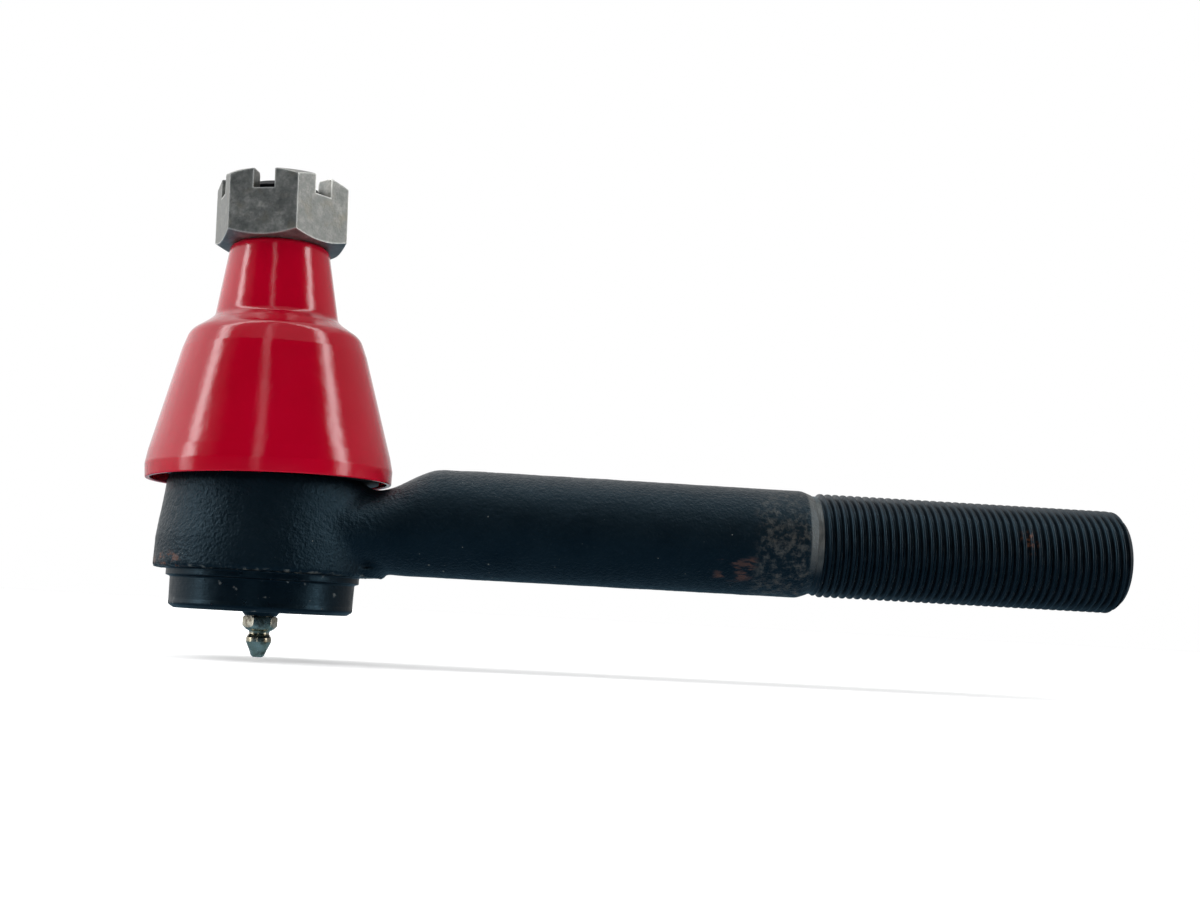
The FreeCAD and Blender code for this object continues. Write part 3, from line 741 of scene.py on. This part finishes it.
def build_skirt():
    """Turned skirt below the eye, its edge rolled in over the cover plate."""
    outline = soften(
        [
            (26.8, -15.4), (24.95, -15.9), (24.95, -17.55), (23.85, -17.9), (23.7, -23.6),
            (23.85, -25.0), (22.3, -26.0), (19.7, -25.9), (19.7, -24.9), (21.65, -24.9),
            (21.65, -22.4), (20.6, -22.4), (20.6, -19.5), (19.15, -19.5), (19.15, -15.4),
        ],
        [0, 0.4, 0.3, 0.5, 2.0, 0.9, 0.9, 0.3, 0, 0, 0, 0, 0, 0, 0],
    )
    skirt = lathe("housing_skirt", outline, 224)
    dress(skirt, "machined", "housing", "housing_paint", "socket_housing")


def build_shank_thread():
    """The thread with the bare collar before it and the chamfered end."""
    verts, faces = thread_mesh(
        SHANK_THREAD_START, SHANK_THREAD_END, SHANK_CREST, SHANK_THREAD_DEPTH, SHANK_PITCH,
        shank_limit,
    )
    core = 12.75
    collar = soften(
        [
            (0, 145.8), (SHOULDER_RADIUS, 145.8), (13.35, 146.4), (13.35, 147.0),
            (12.7, 147.6), (0, 147.6),
        ],
        [0, 0, 0.3, 0, 0, 0],
    )
    tip = soften(
        [
            (0, 231.0), (core, 231.0), (12.2, 232.4), (11.4, SHANK_END), (3.2, SHANK_END),
            (2.2, 231.2), (0, 230.6),
        ],
        [0, 0, 0.3, 0.2, 0.2, 0.2, 0],
    )
    parts = [(along_x(verts), faces)]
    for outline in (collar, tip):
        part_verts, part_faces = lathe_mesh(outline, 144, closed=False)
        parts.append((along_x(part_verts), part_faces))
    verts, faces = join_lists(parts)
    thread = mesh_object("shank_thread", verts, faces, sharp=60)
    dress(thread, "thread", "housing", "housing_paint", "socket_housing")


# ------------------------------------------------------------------ the cap

def build_cap():
    outer = [
        (32.0, 8.3), (32.2, 12.0), (31.5, 15.6), (24.3, 42.8), (22.6, 47.6),
        (18.2, 50.6), (16.3, 52.2), (13.2, 71.3), (12.6, 72.0),
    ]
    outer_radii = [0.35, 3.0, 3.5, 4.0, 5.0, 2.2, 3.0, 0.5, 0.4]
    inner = [
        (11.4, 72.0), (11.4, 70.75), (11.85, 70.6), (15.0, 51.2), (16.9, 49.4),
        (21.3, 46.9), (23.0, 42.5), (30.1, 15.5), (30.9, 11.9), (30.75, 8.3),
    ]
    inner_radii = [0.3, 0, 0.3, 2.0, 1.5, 3.5, 3.0, 3.0, 2.0, 0.35]
    profile = soften(outer + inner, outer_radii + inner_radii, 8)
    cap = lathe("shipping_cap", profile, 288, matrix=LEANING, sharp=50)
    dress(cap, "cap", "cap", "cap_red", "protective_cap")


# ------------------------------------------------------------------ the nut

def slot_bar(half_width, low, high):
    """Long bar across the nut that cuts two opposite slots."""
    reach = 25
    verts = []
    for z in (low, high):
        for x, y in ((-1, -1), (1, -1), (1, 1), (-1, 1)):
            verts.append((x * reach, y * half_width, z))
    faces = [[3, 2, 1, 0], [4, 5, 6, 7], [0, 1, 5, 4], [1, 2, 6, 5], [2, 3, 7, 6], [3, 0, 4, 7]]
    return verts, faces


def build_nut():
    low, high = 72.05, 90.0
    across_flats = 31.75
    bore_radius = 11.08
    slot_depth = 5.4
    slot_half = 2.85
    corner_turn = math.radians(20.4 - 90)
    nut = prism("castle_nut", across_flats, low, high, corner_turn)
    envelope = [
        (0, low), (15.75, low), (18.6, low + 1.75), (18.6, high - 1.75),
        (15.75, high), (0, high),
    ]
    verts, faces = lathe_mesh(envelope, 144, closed=False)
    cut_with(nut, mesh_object("envelope", verts, faces), "INTERSECT")
    bore = [
        (0, low - 1), (12.1, low - 1), (bore_radius, low + 0.9), (bore_radius, high - 6.4),
        (bore_radius, high - 0.9), (12.1, high + 1), (0, high + 1),
    ]
    verts, faces = lathe_mesh(bore, 144, closed=False)
    cut_with(nut, mesh_object("bore", verts, faces))
    for k in range(3):
        angle = corner_turn + math.radians(30 + 60 * k)
        verts, faces = slot_bar(slot_half, high - slot_depth, high + 2)
        turn_by = Matrix.Rotation(angle, 4, "Z")
        cut_with(nut, mesh_object("slot", verts, faces, turn_by))
    nut.data.transform(LEANING)
    add_modifier(
        nut, "BEVEL", width=0.38 * MM, segments=3, limit_method="ANGLE",
        angle_limit=math.radians(28), miter_outer="MITER_ARC",
    )
    finish_mesh(nut.data, 35)
    dress(nut, "nut", "nut", "nut_steel", "slotted_nut")


# ----------------------------------------------------------------- the stud

def stud_limit(z):
    """Greatest radius of the stud's threaded end at a height."""
    runout = 9.85 + max(0.0, z - 65.0) * 1.0
    chamfer = 9.6 + max(0.0, 88.3 - z) * 1.1
    return min(STUD_CREST, runout, chamfer)


def build_stud():
    ball = []
    start = math.asin(BALL_FLAT / BALL_RADIUS)
    end = math.acos(STUD_NECK_RADIUS / BALL_RADIUS)
    arc_steps = 40
    for k in range(arc_steps + 1):
        angle = start + (end - start) * k / arc_steps
        ball.append((BALL_RADIUS * math.cos(angle), BALL_RADIUS * math.sin(angle)))
    shaft = soften(
        [
            (STUD_NECK_RADIUS, 12.0), (STUD_NECK_RADIUS, 15.5), (13.3, 22.5), (13.3, 32.5),
            (11.45, 62.0), (9.8, 62.4), (9.8, 65.2), (9.0, 65.3),
        ],
        [0, 3.0, 2.0, 0.3, 0.5, 0.4, 0.4, 0],
    )
    profile = [(0, BALL_FLAT)] + ball + shaft + [(0, 65.3)]
    tip = soften(
        [(0, 87.3), (9.7, 87.3), (9.6, 88.2), (9.1, STUD_END), (0, STUD_END)],
        [0, 0, 0.3, 0.3, 0],
    )
    parts = [
        lathe_mesh(profile, 160, closed=False),
        thread_mesh(
            STUD_THREAD_START, STUD_THREAD_END, STUD_CREST, STUD_THREAD_DEPTH, STUD_PITCH,
            stud_limit, 120,
        ),
        lathe_mesh(tip, 120, closed=False),
    ]
    verts, faces = join_lists(parts)
    stud = mesh_object("ball_stud_turned", verts, faces, LEANING, 50)
    dress(stud, "stud", "stud", "stud_steel", "ball_stud")


# ------------------------------------------------- cover plate and fittings

def build_cover():
    plate = soften(
        [
            (3.15, -22.55), (21.5, -22.55), (21.5, -24.8), (20.6, -24.8), (16.8, -24.2),
            (9.0, -24.2), (5.7, -24.9), (4.1, -27.1), (3.15, -27.1),
        ],
        [0, 0.2, 0.3, 0.8, 1.5, 1.5, 0.8, 0.3, 0],
    )
    cover = lathe("closing_plate", plate, 192)
    dress(cover, "machined", "housing", "plate_paint", "cover_plate")


def build_fitting():
    low, high = -30.4, -27.15
    across_flats = 7.94
    hexagon = prism("fitting_hex", across_flats, low, high, math.radians(17.4))
    envelope = [
        (0, high), (4.0, high), (4.55, high - 0.45), (4.55, low + 0.75), (3.8, low), (0, low),
    ]
    verts, faces = lathe_mesh(envelope, 96, closed=False)
    cut_with(hexagon, mesh_object("fitting_envelope", verts, faces), "INTERSECT")
    hole = [(0, high + 1), (3.0, high + 1), (3.0, low - 1), (0, low - 1)]
    verts, faces = lathe_mesh(hole, 64, closed=False)
    cut_with(hexagon, mesh_object("fitting_hole", verts, faces))
    add_modifier(
        hexagon, "BEVEL", width=0.25 * MM, segments=3, limit_method="ANGLE",
        angle_limit=math.radians(25),
    )
    finish_mesh(hexagon.data, 35)
    dress(hexagon, "fitting", "housing", "fitting_plate", "grease_fitting")

    stem = soften(
        [
            (1.3, -22.0), (3.1, -22.0), (3.1, low + 0.05), (3.9, low - 0.05), (2.65, -31.1),
            (2.6, -31.8), (3.25, -32.8), (3.25, -33.9), (2.15, -36.3), (1.75, -37.4),
            (1.2, -37.9), (0.85, -37.9), (0.85, -36.5), (1.3, -36.0),
        ],
        [0, 0.3, 0, 0.15, 0.4, 0.4, 0.45, 0.5, 1.5, 0.6, 0.3, 0.15, 0, 0],
    )
    head = lathe("fitting_head", stem, 96)
    dress(head, "fitting", "housing", "fitting_plate", "grease_fitting")


# ------------------------------------------------------------- boot and rings

def boot_profile():
    """Outline of the boot's section (radius, height)."""
    points = [
        (20.5, 10.8), (25.6, 10.8), (25.6, 11.7), (24.4, 12.0), (24.4, 13.4), (25.6, 13.8),
        (25.6, 14.6), (25.9, 17.6), (25.2, 20.2), (21.5, 24.4), (16.1, 26.0), (16.1, 27.6),
        (15.3, 28.0), (15.3, 29.6), (16.1, 30.0), (16.1, 31.6), (13.6, 31.6), (13.6, 25.2),
        (14.6, 24.2), (20.6, 22.5), (23.3, 19.4), (24.0, 17.2), (23.2, 14.6), (20.5, 12.9),
    ]
    radii = [
        0.3, 0.5, 0.4, 0.2, 0.2, 0.4, 1.5, 3.0, 3.0, 3.5, 1.5, 0.4,
        0.2, 0.2, 0.4, 0.5, 0.4, 0.4, 1.0, 3.0, 3.0, 2.0, 1.0, 0.4,
    ]
    return soften(points, radii, 5)


def split_outline(outline, height):
    """Cut a closed outline at a height into a lower and an upper part."""
    lower = []
    upper = []
    count = len(outline)
    for i in range(count):
        a = outline[i]
        b = outline[(i + 1) % count]
        (upper if a[1] > height else lower).append(a)
        if (a[1] - height) * (b[1] - height) < 0:
            t = (height - a[1]) / (b[1] - a[1])
            cross = (a[0] + t * (b[0] - a[0]), height)
            lower.append(cross)
            upper.append(cross)
    return lower, upper


def build_boot():
    """The boot in two halves, its foot upright and its collar on the leaning stud."""
    seam = 19.4
    foot_height, collar_height = 10.8, 28.8
    slant = math.tan(LEAN) * collar_height / (collar_height - foot_height)
    lower, upper = split_outline(boot_profile(), seam)
    flexed = Matrix.Identity(4)
    flexed[0][2] = slant
    flexed[0][3] = -slant * foot_height * MM
    foot = lathe("boot_foot", lower, 160, matrix=flexed, sharp=50)
    crown = lathe("boot_crown", upper, 160, matrix=flexed, sharp=50)
    for obj in (foot, crown):
        dress(obj, "boot", None, "boot_rubber", "dust_boot")
    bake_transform(foot)
    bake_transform(crown)


def build_retainer():
    """Pressed ring that holds the boot's lower bead."""
    retainer = soften(
        [(17.0, 9.4), (28.4, 9.4), (28.4, 10.7), (17.0, 10.7)], [0.2, 0.35, 0.35, 0.2]
    )
    flange = lathe("boot_flange", retainer, 192)
    dress(flange, "ring", "housing", "ring_steel", "boot_retainer_ring")


def build_preload_spring():
    """The CAD node's coil; the real one shortens against the cover plate as the bearing wears."""
    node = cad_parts["preload_spring"]
    coil = add_object("preload_coil", node.data.copy())
    coil.matrix_world = node.matrix_world.copy()
    dress(coil, "spring", "housing", "spring_steel", "preload_spring")
    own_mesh(coil)


def dress_inner_nodes():
    """Nodes whose CAD shape is right keep it and get a finished material."""
    for name, material in (
        ("upper_bearing", "bearing"),
        ("lower_bearing", "bearing"),
        ("spring_seat", "spring"),
        ("cover_seal_ring", "boot"),
        ("fitting_check_ball", "spring"),
        ("fitting_check_spring", "spring"),
        ("boot_lower_clamp", "spring"),
        ("boot_upper_clamp", "spring"),
    ):
        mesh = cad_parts[name].data
        for index in range(len(mesh.materials)):
            mesh.materials[index] = MATERIALS[material]


# --------------------------------------------------- floor, light and camera

FLOOR_HALF_M = 4.0
FLOOR_HEIGHT_M = -0.0385

# Studio brightness against degrees round the horizon, 0 facing the front.
# The narrow bright strips make the streaks on the cap. Levels up to DARK are cool.
PANEL_STRENGTH = 10.0
DARK = 0.005
NEUTRAL = (1.0, 1.0, 1.0)
COOL = (0.5, 1.0, 1.6)
NEAR_HORIZON = (0.0008, 0.0017, 0.0027)
BELOW_HORIZON = (0.012, 0.022, 0.030)
PANELS = [
    (-180, 0.09), (-90, 0.14), (-80, 0.18), (-77.5, 0.90), (-73, 0.90), (-67, 0.045),
    (-45, 0.0017), (-6.0, 0.0017), (-5.5, 1.00), (-4.7, 1.00), (-4.2, 0.0017), (52, 0.0017),
    (70, 0.01), (76.5, 0.84), (81.5, 0.84), (86, 0.03), (150, 0.04), (180, 0.09),
]


CAMERA_PLACE_M = (0.05852, -0.38395, -0.02250)
CAMERA_YAW, CAMERA_PITCH, CAMERA_ROLL = -0.0752, 0.1165, -0.0536
SENSOR_WIDTH = 36.0
LENS = 42.627


def build_floor():
    half, low = FLOOR_HALF_M, FLOOR_HEIGHT_M
    mesh = bpy.data.meshes.new("floor")
    corners = [(-half, -half, low), (half, -half, low), (half, half, low), (-half, half, low)]
    mesh.from_pydata(corners, [], [[0, 1, 2, 3]])
    floor = add_object("floor", mesh)
    p = Paint("floor_white")
    tone = p.ramp(p.grain(3, 2), [(0.3, 0.90), (0.7, 0.93)])
    white = p.surface(
        tone, 0.9, None, 0.0,
        Specular_IOR_Level=0.1,
        Emission_Color=(1.0, 1.0, 1.0, 1.0),
        Emission_Strength=0.40,
    )
    mesh.materials.append(white)
    floor.visible_glossy = False


def panel_stop(angle, level):
    """A panel's place on the ramp and its colour."""
    tint = NEUTRAL if level > DARK else COOL
    return (angle + 180.0) / 360.0, tuple(share * level for share in tint)


def build_world():
    """White backdrop to the eye; soft panels at both sides to the object.

    The panels dim towards the horizon and fade out below it."""
    world = bpy.data.worlds.new("studio")
    bpy.context.scene.world = world
    world.use_nodes = True
    g = Graph(world.node_tree)
    split = g.node("SeparateXYZ")
    g.link(g.node("TexCoord").outputs["Generated"], split.inputs["Vector"])
    height = split.outputs["Z"]
    bearing = g.calc("ARCTAN2", split.outputs["X"], g.calc("MULTIPLY", split.outputs["Y"], -1.0))
    turn_part = g.span(bearing, -math.pi, math.pi)
    panels = g.ramp(turn_part, [panel_stop(angle, level) for angle, level in PANELS])
    dimmed = g.blend(g.span(height, 0.02, 0.20, 0.5), NEAR_HORIZON, panels)
    tone = g.blend(g.span(height, -0.25, -0.02), BELOW_HORIZON, dimmed)
    lit = g.tree.nodes["Background"]
    lit.inputs["Strength"].default_value = PANEL_STRENGTH
    g.link(tone, lit.inputs["Color"])
    seen = g.node("Background")
    seen.inputs["Color"].default_value = (1, 1, 1, 1)
    choose = g.node("MixShader")
    g.link(g.node("LightPath").outputs["Is Camera Ray"], choose.inputs["Fac"])
    g.link(lit.outputs["Background"], choose.inputs[1])
    g.link(seen.outputs["Background"], choose.inputs[2])
    g.link(choose.outputs["Shader"], g.tree.nodes["World Output"].inputs["Surface"])


def build_overhead():
    """One broad soft light straight above."""
    data = bpy.data.lights.new("overhead", "SUN")
    data.energy = 0.6
    data.angle = math.radians(90)
    light = bpy.data.objects.new("overhead", data)
    bpy.context.collection.objects.link(light)


def build_camera():
    yaw = Matrix.Rotation(CAMERA_YAW, 3, "Z")
    pitch = Matrix.Rotation(CAMERA_PITCH, 3, "X")
    roll = Matrix.Rotation(CAMERA_ROLL, 3, "Y")
    right, ahead, up = (yaw @ pitch @ roll).col
    facing = Matrix((right, up, -ahead)).transposed().to_4x4()
    data = bpy.data.cameras.new("camera")
    data.sensor_width = SENSOR_WIDTH
    data.sensor_fit = "HORIZONTAL"
    data.lens = LENS
    data.clip_start = 0.01
    data.clip_end = 20.0
    camera = bpy.data.objects.new("camera", data)
    camera.matrix_world = Matrix.Translation(CAMERA_PLACE_M) @ facing
    bpy.context.collection.objects.link(camera)
    bpy.context.scene.camera = camera


build_forging()
build_skirt()
build_shank_thread()
build_cap()
build_nut()
build_stud()
build_cover()
build_fitting()
build_boot()
build_retainer()
build_preload_spring()
dress_inner_nodes()
build_floor()
build_world()
build_overhead()
build_camera()
bpy.context.scene.view_settings.view_transform = "Standard"
